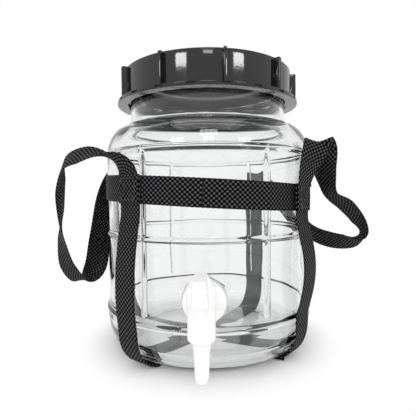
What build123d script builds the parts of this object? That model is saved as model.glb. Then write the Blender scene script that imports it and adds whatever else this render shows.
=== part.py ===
from build123d import *
import os
from math import acos, ceil, cos, degrees, pi, radians, sin, sqrt, tan

# Wide-mouth glass jar with a screw lid, a webbing harness and a spigot.
# Millimetres, +Z up. The origin is on the jar's axis, on the surface that the harness rests on.
# Azimuths are in degrees from the front (-Y) towards the right (+X). The spigot faces the front.

# Webbing of the harness
webbing_width = 25.0
webbing_thickness = 1.4
webbing_gap = 0.3  # between a strap and what it lies on

# Glass jar
body_radius = 108.75
wall = 4.0
base_thickness = 5.0
foot_height = webbing_thickness + webbing_gap  # the glass stands on the base straps
bearing_radius = 86.0  # middle of the ring that carries the jar
bearing_width = 4.0
ring_thickness = 6.0  # of the glass over the bearing ring
punt_rise = 5.0
heel_height = 34.0
bumper_rise = 2.75
bumper_height = 14.0
bumper_end = foot_height + heel_height + bumper_height
shoulder_rise = 31.6
neck_height = 52.5
neck_radius = 83.5
neck_fillet = 2.0
rim_z = 282.7
shoulder_z = rim_z - neck_height - shoulder_rise

# Raised beads on the body
bead_count = 6
bead_radius = 3.0
bead_proud = 2.0
bead_phase = 30.0
top_bead_rise = 0.9  # over the start of the shoulder
top_bead_z = shoulder_z + top_bead_rise
mid_bead_share = 0.468  # of the way from the bumper to the top bead
mid_bead_z = bumper_end + mid_bead_share * (top_bead_z - bumper_end)
knot_radius = 3.7

# Screw thread between neck and lid
thread_pitch = 8.0
thread_depth = 2.0
thread_crest = 2.0  # axial width at the crest
thread_root = 4.0  # axial width at the root
thread_embed = 0.5
neck_thread_turns = 1.25
lid_thread_turns = 1.0
neck_thread_drop = 22.7  # from the rim to the start of the neck's thread
neck_thread_z = rim_z - neck_thread_drop
thread_play = 0.45  # axial clearance between the flanks
crest_play = 0.6  # radial clearance between a crest and the facing wall

# Lid
lid_wall = 4.1
lid_drop = 29.7  # from the rim to the flange's underside
flange_z = rim_z - lid_drop
flange_proud = 6.8  # outside the skirt
flange_thickness = 3.4
lid_top = 2.6
lid_edge = 1.6
panel_drop = 1.0
panel_margin = 12.0
fin_count = 10
fin_phase = 11.6
fin_proud = 5.7
fin_thickness = 2.8
fin_drop = 0.6  # from the lid's top to the fins' tops
fin_round = 2.0
slot_length = 7.5  # slots round the flange's rim, two to a fin
slot_height = 1.6
slot_depth = 1.5
liner_thickness = 1.6
liner_clearance = 0.1
liner_width = 11.0

# Harness
belt_share = 0.5044  # of the way from the middle bead to the top bead
belt_z = mid_bead_z + belt_share * (top_bead_z - mid_bead_z)
belt_tilt = 3.35  # the belt sits lower on the right
belt_tilt_azimuth = 2.0
strap_a_ends = (-35.5, 147.6)  # front left to back right
strap_b_ends = (52.5, -112.0)  # front right to back left
strap_above_belt = 0.5
strap_heel_offset = 4.0  # the straps turn under the jar this far outside the bearing ring
strap_step = 12.0  # between the stations of an upright strap
strap_bends = 9  # stations round the heel
slack_front = 8.0  # how far a loose strap stands off the jar at the most
slack_back_right = 2.0
slack_back_left = 3.0
slack_front_left_z = 5.0  # height where a strap's slack ends
slack_front_right_z = 45.0
slack_back_z = 50.0
slack_start = 10.0  # below the belt's lower edge
crossing_margin = 3.0
crossing_ramp = 14.0
loop_unit = 1.0  # length of one unit in the routes of the handles
loop_steps = 3  # facets between two stations of a handle

# Spigot
hole_diameter = 26.0
shank_diameter = 25.0
shank_length = 25.0
washer_diameter = 39.0
washer_thickness = 2.2
washer_margin = 0.3  # over the bumper
spigot_z = bumper_end + washer_margin + washer_diameter / 2
flange_diameter = 37.0
flange_plate = 4.0
tube_diameter = 16.0
tube_bore = 9.0
barrel_reach = 50.0  # from the glass to the barrel's axis
barrel_diameter = 20.2
barrel_bottom = spigot_z - 16.5
barrel_top = spigot_z + 11.1
barrel_chamfer = 3.6
plug_floor = spigot_z - 12.5
plug_bore = 6.4
plug_top_diameter = 15.6
plug_bottom_diameter = 13.8
plug_clearance = 0.08
nozzle_step_diameter = 12.8
nozzle_step = 3.0
nozzle_top_diameter = 12.0
nozzle_tip_diameter = 10.2
nozzle_bore = 7.0
nozzle_length = 27.5
nozzle_tip_z = barrel_bottom - nozzle_length
nozzle_chamfer = 1.0
nozzle_chamfer_height = 4.0
collar_diameter = 21.4
collar_height = 14.5
collar_gap = 0.1
collar_edge = 1.4
grip_height = 8.0
lever_length = 26.0
lever_top_width = 8.6
lever_root_width = 12.0
nut_across_flats = 34.0
nut_thickness = 8.0
nut_clearance = 0.05


def direction(azimuth):
    """Unit vector that points outwards at an azimuth."""
    return Vector(sin(radians(azimuth)), -cos(radians(azimuth)), 0)


def on_round(radius, azimuth, z):
    return direction(azimuth) * radius + Vector(0, 0, z)


def turned(edges):
    """Solid of revolution about Z from a closed outline in the XZ plane."""
    return revolve(Plane.XZ * make_face(edges), Axis.Z)


def thread_ridge(radius, inward, turns, start_z, pitch=thread_pitch):
    """Helical ridge with a trapezoidal section, sunk a little into the wall that carries it."""
    side = -1 if inward else 1
    helix = Pos(0, 0, start_z) * Helix(pitch, pitch * turns, radius)
    slope = (thread_root - thread_crest) / 2 / thread_depth
    root = thread_root / 2 + slope * thread_embed
    section = Polyline(
        (-side * thread_embed, -root),
        (side * thread_depth, -thread_crest / 2),
        (side * thread_depth, thread_crest / 2),
        (-side * thread_embed, root),
        close=True,
    )
    plane = Plane(origin=helix @ 0, x_dir=(1, 0, 0), z_dir=helix % 0)
    return sweep(plane * make_face(section), path=helix, is_frenet=True)


def jar_outside():
    """Solid form of the jar: punt, heel, bumper, wall, shoulder and neck."""
    ring_in = bearing_radius - bearing_width / 2
    ring_out = bearing_radius + bearing_width / 2
    heel_z = foot_height + heel_height
    heel_radius = body_radius + bumper_rise / 2
    shoulder_radius = neck_radius + neck_fillet
    neck_z = shoulder_z + shoulder_rise
    lip = wall / 2
    return turned(
        [
            ThreePointArc(
                (0, foot_height + punt_rise),
                (ring_in / 2, foot_height + punt_rise * 0.75),
                (ring_in, foot_height),
            ),
            Line((ring_in, foot_height), (ring_out, foot_height)),
            EllipticalCenterArc(
                (ring_out, heel_z), heel_radius - ring_out, heel_height, start_angle=270, arc_size=90
            ),
            ThreePointArc(
                (heel_radius, heel_z),
                (body_radius + bumper_rise, heel_z + bumper_height / 2),
                (body_radius, bumper_end),
            ),
            Line((body_radius, bumper_end), (body_radius, shoulder_z)),
            EllipticalCenterArc(
                (shoulder_radius, shoulder_z),
                body_radius - shoulder_radius,
                shoulder_rise,
                start_angle=0,
                arc_size=90,
            ),
            ThreePointArc(
                (shoulder_radius, neck_z),
                (
                    shoulder_radius - neck_fillet * sin(pi / 4),
                    neck_z + neck_fillet * (1 - cos(pi / 4)),
                ),
                (neck_radius, neck_z + neck_fillet),
            ),
            Line((neck_radius, neck_z + neck_fillet), (neck_radius, rim_z - lip)),
            ThreePointArc(
                (neck_radius, rim_z - lip),
                (neck_radius - lip, rim_z),
                (neck_radius - 2 * lip, rim_z - lip),
            ),
            Line((neck_radius - 2 * lip, rim_z - lip), (0, rim_z - lip)),
            Line((0, rim_z - lip), (0, foot_height + punt_rise)),
        ]
    )


def jar_inside():
    """Hollow of the jar, one wall inside its outer form."""
    inner_radius = body_radius - wall
    floor_z = foot_height + punt_rise + base_thickness
    ring_floor_z = foot_height + ring_thickness
    corner_radius = bearing_radius - wall
    corner_height = heel_height + foot_height - ring_floor_z
    inner_neck = neck_radius - wall
    throat = inner_neck + neck_fillet
    throat_z = shoulder_z + shoulder_rise - wall
    return turned(
        [
            ThreePointArc(
                (0, floor_z),
                (corner_radius / 2, ring_floor_z + (floor_z - ring_floor_z) * 0.75),
                (corner_radius, ring_floor_z),
            ),
            EllipticalCenterArc(
                (corner_radius, ring_floor_z + corner_height),
                inner_radius - corner_radius,
                corner_height,
                start_angle=270,
                arc_size=90,
            ),
            Line((inner_radius, ring_floor_z + corner_height), (inner_radius, shoulder_z)),
            EllipticalCenterArc(
                (throat, shoulder_z),
                inner_radius - throat,
                throat_z - shoulder_z,
                start_angle=0,
                arc_size=90,
            ),
            ThreePointArc(
                (throat, throat_z),
                (
                    throat - neck_fillet * sin(pi / 4),
                    throat_z + neck_fillet * (1 - cos(pi / 4)),
                ),
                (inner_neck, throat_z + neck_fillet),
            ),
            Line((inner_neck, throat_z + neck_fillet), (inner_neck, rim_z + wall)),
            Line((inner_neck, rim_z + wall), (0, rim_z + wall)),
            Line((0, rim_z + wall), (0, floor_z)),
        ]
    )


def upright_bead(azimuth):
    """Round-ended bead from the bumper up to the top bead."""
    centre = body_radius + bead_proud - bead_radius
    low_centre = bumper_end + bead_radius
    bar = [
        Line((0, bumper_end), (0, top_bead_z + bead_radius)),
        CenterArc((0, top_bead_z), bead_radius, 0, 90),
        Line((bead_radius, top_bead_z), (bead_radius, low_centre)),
        CenterArc((0, low_centre), bead_radius, -90, 90),
    ]
    return Pos(*on_round(centre, azimuth, 0)) * turned(bar)


def jar():
    form = jar_outside()
    centre = body_radius + bead_proud - bead_radius
    for z in (mid_bead_z, top_bead_z):
        form += Pos(0, 0, z) * Torus(centre, bead_radius)
    for i in range(bead_count):
        azimuth = bead_phase + i * 360 / bead_count
        form += upright_bead(azimuth)
        form += Pos(*on_round(centre, azimuth, mid_bead_z)) * Sphere(knot_radius)
    form += thread_ridge(neck_radius, False, neck_thread_turns, neck_thread_z)
    form -= jar_inside()
    return form - wall_disc(hole_diameter / 2, body_radius + wall, body_radius - 2 * wall)


def lid_bore():
    return neck_radius + thread_depth + crest_play


def lid_skirt():
    return lid_bore() + lid_wall


def lid_ceiling():
    return rim_z + liner_thickness + 2 * liner_clearance


def lid_fin():
    """One grip fin, standing on the flange and rounded over the lid's top edge."""
    low = flange_z + flange_thickness / 2
    high = lid_ceiling() + lid_top - fin_drop
    inner = lid_skirt() - lid_wall / 2
    outer = lid_skirt() + fin_proud
    face = make_face(Polyline((inner, low), (outer, low), (outer, high), (inner, high), close=True))
    top_corners = face.vertices().filter_by(lambda v: v.Y > (low + high) / 2)
    rounded = Plane.XZ * fillet(top_corners, fin_round)
    return extrude(rounded, fin_thickness / 2, both=True)


def lid():
    bore, skirt, ceiling = lid_bore(), lid_skirt(), lid_ceiling()
    top = ceiling + lid_top
    flange_radius = skirt + flange_proud
    flange_top = flange_z + flange_thickness
    panel_radius = skirt - panel_margin
    cap = turned(
        [
            Line((0, ceiling), (bore, ceiling)),
            Line((bore, ceiling), (bore, flange_z)),
            Line((bore, flange_z), (flange_radius - lid_edge / 2, flange_z)),
            ThreePointArc(
                (flange_radius - lid_edge / 2, flange_z),
                (flange_radius, (flange_z + flange_top) / 2),
                (flange_radius - lid_edge / 2, flange_top),
            ),
            Line((flange_radius - lid_edge / 2, flange_top), (skirt, flange_top)),
            Line((skirt, flange_top), (skirt, top - lid_edge)),
            Line((skirt, top - lid_edge), (skirt - lid_edge, top)),
            Line((skirt - lid_edge, top), (panel_radius, top)),
            Line((panel_radius, top), (panel_radius - panel_drop, top - panel_drop)),
            Line((panel_radius - panel_drop, top - panel_drop), (0, top - panel_drop)),
            Line((0, top - panel_drop), (0, ceiling)),
        ]
    )
    fin = lid_fin()
    rim_middle = Pos(flange_radius, 0, (flange_z + flange_top) / 2)
    slot = rim_middle * Box(2 * slot_depth, slot_length, slot_height)
    for i in range(fin_count):
        cap += Rot(0, 0, fin_phase - 90 + i * 360 / fin_count) * fin
    for i in range(2 * fin_count):
        cap -= Rot(0, 0, fin_phase - 90 + i * 180 / fin_count) * slot
    # The lid's ridge hangs under the neck's, flank to flank with the thread's play between them.
    flank = (thread_root - thread_crest) / 2 / thread_depth
    drop = (thread_root + thread_crest) / 2 + thread_play - crest_play * flank
    return cap + thread_ridge(bore, True, lid_thread_turns, neck_thread_z - drop)


def lid_liner():
    outer = lid_bore() - liner_clearance
    ring = Cylinder(outer, liner_thickness) - Cylinder(outer - liner_width, liner_thickness)
    return Pos(0, 0, rim_z + liner_clearance + liner_thickness / 2) * ring


def belt_outline():
    """Inner line of the belt: it lies on the wall and tents over each upright bead."""
    on_wall = body_radius + webbing_gap
    on_bead = body_radius + bead_proud + webbing_gap
    lift = degrees(acos(on_wall / on_bead))
    edges = []
    for i in range(bead_count):
        bead = bead_phase + i * 360 / bead_count
        next_bead = bead + 360 / bead_count
        leaves = on_round(on_wall, bead + lift, 0)
        arrives = on_round(on_wall, next_bead - lift, 0)
        edges.append(Line(on_round(on_bead, bead, 0), leaves))
        edges.append(ThreePointArc(leaves, on_round(on_wall, (bead + next_bead) / 2, 0), arrives))
        edges.append(Line(arrives, on_round(on_bead, next_bead, 0)))
    return make_face(edges)


def belt():
    inner = belt_outline()
    ring = offset(inner, amount=webbing_thickness) - inner
    room = body_radius
    tall = Pos(0, 0, belt_z - room / 2) * extrude(ring, room)
    slab = Box(4 * body_radius, 4 * body_radius, webbing_width)
    return tall & (Pos(0, 0, belt_z) * Rot(0, 0, belt_tilt_azimuth) * Rot(0, belt_tilt, 0) * slab)


def belt_height(azimuth):
    """Height of the belt's middle at an azimuth."""
    return belt_z - body_radius * tan(radians(belt_tilt)) * sin(radians(azimuth - belt_tilt_azimuth))


def panel(*points):
    """Flat faces on three or four points, one face if they lie in a plane."""
    if len(points) == 4:
        normal = (points[1] - points[0]).cross(points[2] - points[0]).normalized()
        if abs(normal.dot(points[3] - points[0])) > 1e-6:
            return panel(*points[:3]) + panel(points[0], *points[2:])
    return [Face(Wire.make_polygon(points))]


def ribbon(stations):
    """Webbing through stations: each a middle point and the direction across the webbing."""
    last = len(stations) - 1
    corners = []
    for i, (point, across) in enumerate(stations):
        ahead = stations[min(i + 1, last)][0]
        behind = stations[max(i - 1, 0)][0]
        along = (ahead - behind).normalized()
        side = (across - along * across.dot(along)).normalized()
        half = side * (webbing_width / 2)
        up = along.cross(side) * (webbing_thickness / 2)
        corners.append([point - half - up, point + half - up, point + half + up, point - half + up])
    faces = panel(*reversed(corners[0])) + panel(*corners[-1])
    for near, far in zip(corners, corners[1:]):
        for k in range(4):
            after = (k + 1) % 4
            faces += panel(near[k], near[after], far[after], far[k])
    return Solid(Shell(faces))


def blended(stations, steps):
    """Stations on a smooth line through the given ones."""
    result = []
    last = len(stations) - 1
    for i in range(last):
        before, here = stations[max(i - 1, 0)], stations[i]
        there, after = stations[i + 1], stations[min(i + 2, last)]
        for k in range(steps):
            t = k / steps
            pair = []
            for p0, p1, p2, p3 in zip(before, here, there, after):
                bend = p0 * -1 + p1 * 3 - p2 * 3 + p3
                pair.append(
                    (p1 * 2 + (p2 - p0) * t + (p0 * 2 - p1 * 5 + p2 * 4 - p3) * t**2 + bend * t**3) * 0.5
                )
            result.append((pair[0], pair[1]))
    result.append(stations[-1])
    return result


def strap_radius():
    """Middle of an upright strap where it passes over the belt on a bead."""
    return body_radius + bead_proud + 2 * webbing_gap + 1.5 * webbing_thickness


def strap_slack(azimuth, z, slack):
    """How far a loose strap stands off at a height, between its low end and the belt's lower edge."""
    depth, low = slack
    high = belt_height(azimuth) - webbing_width / 2 - slack_start
    return depth * sin(pi * (z - low) / (high - low)) if low < z < high else 0.0


def strap_side(azimuth, slack):
    """Stations of one upright end, from its top edge down to the bearing ring."""
    across = direction(azimuth + 90)
    top = belt_height(azimuth) + webbing_width / 2 + strap_above_belt
    knee = foot_height + heel_height
    middle = webbing_thickness / 2
    falls = ceil((top - knee) / strap_step)
    stations = []
    for i in range(falls + 1):
        z = top + (knee - top) * i / falls
        stations.append((on_round(strap_radius() + strap_slack(azimuth, z, slack), azimuth, z), across))
    turn_radius = bearing_radius + strap_heel_offset
    reach = strap_radius() + strap_slack(azimuth, knee, slack) - turn_radius
    for i in range(1, strap_bends + 1):
        angle = pi / 2 * i / strap_bends
        r = turn_radius + reach * cos(angle)
        z = knee - (knee - middle) * sin(angle)
        stations.append((on_round(r, azimuth, z), across))
    return stations


def base_strap(ends, slacks, hump):
    """One webbing from its sewn top on one side, under the jar and up to its sewn top on the other."""
    down = strap_side(ends[0], slacks[0])
    up = [(p, side * -1) for p, side in reversed(strap_side(ends[1], slacks[1]))]
    start, finish = down[-1], up[0]
    run = (finish[0] - start[0]).length
    flat = webbing_width / 2 + crossing_margin
    half_way, clear = flat + crossing_ramp / 2, flat + crossing_ramp
    marks = [(-clear, 0), (-half_way, 0.5), (-flat, 1), (flat, 1), (half_way, 0.5), (clear, 0)]
    under = []
    for mark, lift in marks:
        share = 0.5 + mark / run
        point = start[0] + (finish[0] - start[0]) * share + Vector(0, 0, lift * hump)
        under.append((point, start[1] + (finish[1] - start[1]) * share))
    return ribbon(down + under + up)


def handle_end(azimuth):
    """Stations of the patch that is sewn over the strap and the belt, from its low end upwards."""
    radius = strap_radius() + webbing_thickness + webbing_gap
    middle = belt_height(azimuth)
    across = direction(azimuth + 90)
    return [
        (on_round(radius + webbing_gap * (1 + share), azimuth, middle + share * webbing_width / 2), across)
        for share in (-1, 0, 1)
    ]


def handle_route(stations):
    """Stations given as azimuth, distance from the wall, height over the belt, heading and climb."""
    route = []
    for azimuth, off, over, heading, climb in stations:
        across = direction(heading) * cos(radians(climb)) + Vector(0, 0, sin(radians(climb)))
        place = on_round(body_radius + off * loop_unit, azimuth, belt_z + over * loop_unit)
        route.append((place, across))
    return route


def handle(first, last, stations):
    """Carrying loop that hangs between the tops of two straps."""
    finish = [(p, side * -1) for p, side in reversed(handle_end(last))]
    route = handle_end(first) + handle_route(stations) + finish
    return ribbon(blended(route, loop_steps))


def handle_left():
    # Up from the front left strap, out and over, down to the left, and back up behind.
    return handle(
        strap_a_ends[0],
        strap_b_ends[1],
        [
            (-38, 9.5, 25, 50, 0),
            (-46, 16, 34, 26, -12),
            (-55, 29, 36, 22, -33),
            (-62.5, 42, 29, 19, -26),
            (-68.5, 45.5, 8, 6, -3),
            (-74.5, 47, -20, 12, 2),
            (-79.5, 49, -52, 40, 9),
            (-82.5, 46, -79, 58, 14),
            (-86, 35, -96, 66, 10),
            (-90.5, 22, -84, 95, -4),
            (-96, 20, -48, 132, -7),
            (-103, 21.5, -8, 148, -6),
            (-109.5, 20, 18, 155, -3),
            (-112, 14, 29, 158, 0),
        ],
    )


def handle_right():
    # Up from the front right strap, turned to the front, over and down, out to the right, and round behind.
    return handle(
        strap_b_ends[0],
        strap_a_ends[1],
        [
            (54, 9, 22, 130, 0),
            (56.2, 13, 37, 108, -3),
            (59.8, 14.5, 47, 97, 3),
            (65, 17, 41, 78, 5),
            (70, 16, 22, 42, 8),
            (76.5, 21, 0, 4, 14),
            (81.5, 38, -14, -2, 28),
            (85.5, 53, -31, -4, 26),
            (89, 59, -46, -8, 30),
            (92.5, 51, -56, -16, 42),
            (97.5, 35, -56, -16, 52),
            (107, 23, -50, -8, 52),
            (120, 21, -34, 14, 42),
            (132, 21, -8, 38, 25),
            (143, 22, 10, 53, 6),
            (147.6, 14, 27, 57.6, 0),
        ],
    )


def wall_disc(radius, front, back):
    """Disc across the spigot's axis between two distances from the jar's axis."""
    return Pos(0, -(front + back) / 2, spigot_z) * Rot(90, 0, 0) * Cylinder(radius, abs(front - back))


def ring_of(radius, bore, front, back):
    return wall_disc(radius, front, back) - wall_disc(bore, front + wall, back - wall)


def washer_face():
    return body_radius + washer_thickness


def spigot_washer_outer():
    """Soft washer pressed to the round of the glass."""
    ring = ring_of(washer_diameter / 2, shank_diameter / 2 + nut_clearance, washer_face(), body_radius - wall)
    return ring - Cylinder(body_radius + nut_clearance, 4 * spigot_z)


def nut_face():
    inner_wall = body_radius - wall
    return inner_wall - washer_thickness - (inner_wall - sqrt(inner_wall**2 - (nut_across_flats / 2) ** 2))


def spigot_washer_inner():
    ring = ring_of(nut_across_flats / 2, shank_diameter / 2 + nut_clearance, body_radius, nut_face())
    return ring & Cylinder(body_radius - wall - nut_clearance, 4 * spigot_z)


def spigot_nut():
    hexagon = RegularPolygon(nut_across_flats / 2, 6, major_radius=False)
    blank = extrude(Plane(origin=(0, -nut_face(), spigot_z), z_dir=(0, 1, 0)) * hexagon, nut_thickness)
    bore = wall_disc(shank_diameter / 2 + nut_clearance, nut_face() + 1, nut_face() - nut_thickness - 1)
    return blank - bore


def barrel_axis():
    return body_radius + barrel_reach


def about_barrel(edges):
    return Pos(0, -barrel_axis(), 0) * turned(edges)


def plug_cone(play):
    """Tapered plug form, grown all round by a clearance."""
    top = plug_top_diameter / 2 + play
    bottom = plug_bottom_diameter / 2 + play
    low = plug_floor - play
    return [
        Line((0, low), (bottom, low)),
        Line((bottom, low), (top, barrel_top)),
        Line((top, barrel_top), (0, barrel_top)),
        Line((0, barrel_top), (0, low)),
    ]


def spigot_body():
    radius = barrel_diameter / 2
    nozzle_top = barrel_bottom - nozzle_step
    tip = nozzle_tip_diameter / 2
    barrel = about_barrel(
        [
            Line((0, nozzle_tip_z), (tip - nozzle_chamfer, nozzle_tip_z)),
            Line((tip - nozzle_chamfer, nozzle_tip_z), (tip, nozzle_tip_z + nozzle_chamfer_height)),
            Line((tip, nozzle_tip_z + nozzle_chamfer_height), (nozzle_top_diameter / 2, nozzle_top)),
            Line((nozzle_top_diameter / 2, nozzle_top), (nozzle_step_diameter / 2, nozzle_top)),
            Line((nozzle_step_diameter / 2, nozzle_top), (nozzle_step_diameter / 2, barrel_bottom)),
            Line((nozzle_step_diameter / 2, barrel_bottom), (radius, barrel_bottom + barrel_chamfer)),
            Line((radius, barrel_bottom + barrel_chamfer), (radius, barrel_top)),
            Line((radius, barrel_top), (0, barrel_top)),
            Line((0, barrel_top), (0, nozzle_tip_z)),
        ]
    )
    plate = wall_disc(flange_diameter / 2, washer_face() + flange_plate, washer_face())
    front_rim = plate.edges().group_by(Axis.Y)[0]
    plate = fillet(front_rim, flange_plate / 3)
    tube = wall_disc(tube_diameter / 2, barrel_axis(), washer_face())
    shank = wall_disc(shank_diameter / 2, washer_face() + flange_plate / 2, washer_face() - shank_length)
    body = barrel + plate + tube + shank
    body -= wall_disc(tube_bore / 2, barrel_axis(), washer_face() - shank_length - 1)
    body -= about_barrel(plug_cone(plug_clearance))
    passage = Cylinder(nozzle_bore / 2, plug_floor - nozzle_tip_z + 2)
    return body - Pos(0, -barrel_axis(), (plug_floor + nozzle_tip_z) / 2) * passage


def lever(low, high):
    """Tapered paddle from the plug's axis towards the front, with a round nose."""
    root = Rectangle(lever_root_width, 2 * lever_length)
    crown = Rectangle(lever_top_width, 2 * lever_length - (lever_root_width - lever_top_width))
    root = fillet(root.vertices(), lever_root_width / 2.2)
    crown = fillet(crown.vertices(), lever_top_width / 2.2)
    paddle = loft([Pos(0, 0, low) * root, Pos(0, 0, high) * crown])
    front_half = Pos(0, -lever_length, (low + high) / 2) * Box(
        2 * collar_diameter, 2 * lever_length, 2 * (high - low)
    )
    return paddle & front_half


def spigot_plug():
    """Hollow plug with a side port, open at the bottom, under a collar with the lever."""
    stem = turned(plug_cone(0))
    collar_low = barrel_top + collar_gap
    collar_high = collar_low + collar_height
    top = collar_high + grip_height
    radius = collar_diameter / 2
    collar = turned(
        [
            Line((0, barrel_top), (plug_top_diameter / 2, barrel_top)),
            Line((plug_top_diameter / 2, barrel_top), (plug_top_diameter / 2, collar_low)),
            Line((plug_top_diameter / 2, collar_low), (radius, collar_low)),
            Line((radius, collar_low), (radius, collar_high - collar_edge)),
            CenterArc((radius - collar_edge, collar_high - collar_edge), collar_edge, 0, 90),
            Line((radius - collar_edge, collar_high), (lever_top_width / 2, top)),
            Line((lever_top_width / 2, top), (0, top)),
            Line((0, top), (0, barrel_top)),
        ]
    )
    knob = stem + collar + lever(collar_low + collar_height / 3, top)
    port_z = spigot_z
    down = Pos(0, 0, (plug_floor + port_z) / 2) * Cylinder(plug_bore / 2, port_z - plug_floor + 1)
    aside = Pos(plug_top_diameter / 2, 0, port_z) * Rot(0, 90, 0) * Cylinder(plug_bore / 2, plug_top_diameter)
    return Pos(0, -barrel_axis(), 0) * (knob - down - aside)


parts = {
    "jar": jar(),
    "lid": lid(),
    "lid_liner": lid_liner(),
    "belt": belt(),
    "base_strap_a": base_strap(
        strap_a_ends, [(slack_front, slack_front_left_z), (slack_back_right, slack_back_z)], 0.0
    ),
    "base_strap_b": base_strap(
        strap_b_ends,
        [(slack_front, slack_front_right_z), (slack_back_left, slack_back_z)],
        webbing_thickness + webbing_gap,
    ),
    "handle_left": handle_left(),
    "handle_right": handle_right(),
    "spigot_body": spigot_body(),
    "spigot_plug": spigot_plug(),
    "spigot_washer_outer": spigot_washer_outer(),
    "spigot_washer_inner": spigot_washer_inner(),
    "spigot_nut": spigot_nut(),
}

os.makedirs("parts", exist_ok=True)
for name, shape in parts.items():
    export_step(shape, f"parts/{name}.step")
    print(name, round(shape.volume), len(shape.solids()))
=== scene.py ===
from math import acos, ceil, cos, degrees, pi, radians, sin, sqrt, tan

import bpy
import numpy as np
from mathutils import Matrix, Vector, noise


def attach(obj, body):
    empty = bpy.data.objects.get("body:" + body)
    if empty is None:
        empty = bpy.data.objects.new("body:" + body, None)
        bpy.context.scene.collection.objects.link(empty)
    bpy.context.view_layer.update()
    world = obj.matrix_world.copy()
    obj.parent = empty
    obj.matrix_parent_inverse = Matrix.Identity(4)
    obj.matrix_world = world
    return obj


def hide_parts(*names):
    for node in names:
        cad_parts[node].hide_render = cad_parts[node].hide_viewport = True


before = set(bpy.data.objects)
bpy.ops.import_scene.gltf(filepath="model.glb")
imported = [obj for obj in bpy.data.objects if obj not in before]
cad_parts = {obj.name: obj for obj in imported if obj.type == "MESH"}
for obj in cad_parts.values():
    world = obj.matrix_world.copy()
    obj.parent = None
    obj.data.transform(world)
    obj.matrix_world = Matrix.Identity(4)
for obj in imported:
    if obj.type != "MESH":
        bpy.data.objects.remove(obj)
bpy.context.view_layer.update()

print("frame loaded:", len(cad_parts), "nodes")


def fromHex(code):  # sRGB hex to the linear colour that Blender works in
    parts = [int(code[i:i + 2], 16) / 255 for i in (1, 3, 5)]
    return tuple(c / 12.92 if c <= 0.04045 else ((c + 0.055) / 1.055) ** 2.4 for c in parts) + (1.0,)


def addNode(tree, kind, settings=None, links=None):  # one node with its settings and what feeds it
    node = tree.nodes.new(kind)
    for name, value in (settings or {}).items():
        if isinstance(name, int) or name in node.inputs:
            node.inputs[name].default_value = value
        else:
            setattr(node, name, value)
    for name, source in (links or {}).items():
        tree.links.new(source, node.inputs[name])
    return node


def newMaterial(name):
    material = bpy.data.materials.new(name)
    material.use_nodes = True
    tree = material.node_tree
    tree.nodes.clear()
    return material, tree


def makePiece(name, points, faces, material, body, uv=None, sharpAngle=None):
    # points in millimetres, faces as lists of vertex numbers
    mesh = bpy.data.meshes.new(name)
    mesh.from_pydata((np.asarray(points, float) / 1000).tolist(), [], faces)
    if uv is not None:
        layer = mesh.uv_layers.new(name="length")
        loopVerts = np.empty(len(mesh.loops), np.int32)
        mesh.loops.foreach_get("vertex_index", loopVerts)
        layer.data.foreach_set("uv", (np.asarray(uv, np.float32)[loopVerts] / 1000).ravel())
    mesh.shade_smooth()
    if sharpAngle:
        mesh.set_sharp_from_angle(angle=radians(sharpAngle))
    mesh.materials.append(material)
    piece = bpy.data.objects.new(name, mesh)
    bpy.context.scene.collection.objects.link(piece)
    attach(piece, body)
    return piece


def gridFaces(rows, columns, closeRows=False, closeColumns=False, flip=False):
    faces = []
    for i in range(rows if closeRows else rows - 1):
        for j in range(columns if closeColumns else columns - 1):
            a, b = i * columns + j, i * columns + (j + 1) % columns
            c, d = (i + 1) % rows * columns + (j + 1) % columns, (i + 1) % rows * columns + j
            faces.append((a, d, c, b) if flip else (a, b, c, d))
    return faces


def onRound(radius, azimuth, z):  # azimuth in degrees from the front towards the right
    a = radians(azimuth)
    return Vector((radius * sin(a), -radius * cos(a), z))


# The camera stands as in the photograph.
cameraSetup = {
    "distance": 0.4186,  # metres from the jar's axis
    "azimuth": 2.0,
    "height": 0.1605,
    "pitchDown": 2.4,
    "roll": -0.5,
    "lens": 32.19,
    "sensor": 36.0,
    "shiftX": -0.0007,
}


def makeCamera():
    c = cameraSetup
    data = bpy.data.cameras.new("camera")
    data.lens = c["lens"]
    data.sensor_width = c["sensor"]
    data.shift_x = c["shiftX"]
    data.clip_start = 0.01
    camera = bpy.data.objects.new("camera", data)
    bpy.context.scene.collection.objects.link(camera)
    a, p = radians(c["azimuth"]), radians(c["pitchDown"])
    look = Vector((-sin(a) * cos(p), cos(a) * cos(p), -sin(p)))
    turn = look.to_track_quat("-Z", "Y").to_matrix().to_4x4()
    place = Matrix.Translation((c["distance"] * sin(a), -c["distance"] * cos(a), c["height"]))
    camera.matrix_world = place @ turn @ Matrix.Rotation(radians(c["roll"]), 4, "Z")
    bpy.context.scene.camera = camera


makeCamera()
print("camera placed")


def glassMaterial():
    # Soda-lime glass, pressed and blown: clear and glossy, a little grey-green where it is seen lengthwise.
    material, tree = newMaterial("pressedSodaGlass")
    ripple = addNode(tree, "ShaderNodeTexNoise", {"Scale": 1000 / 38, "Detail": 1.0, "Roughness": 0.4},
                     {"Vector": addNode(tree, "ShaderNodeTexCoord").outputs["Object"]})  # 38 mm wide ripples
    bump = addNode(tree, "ShaderNodeBump", {"Strength": 0.25, "Distance": 0.001},
                   {"Height": ripple.outputs["Fac"]})
    shader = addNode(tree, "ShaderNodeBsdfPrincipled", {
        "Base Color": fromHex("#fdfefe"), "Roughness": 0.0, "IOR": 1.5, "Transmission Weight": 1.0,
    }, {"Normal": bump.outputs["Normal"]})
    absorb = addNode(tree, "ShaderNodeVolumeAbsorption", {"Color": fromHex("#cbd0cf"), "Density": 24.0})
    addNode(tree, "ShaderNodeOutputMaterial", {},
            {"Surface": shader.outputs["BSDF"], "Volume": absorb.outputs["Volume"]})
    return material


webbingWeave = {"acrossCell": 25.0 / 12, "alongCell": 2.2, "fibre": 0.25}  # millimetres


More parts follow.
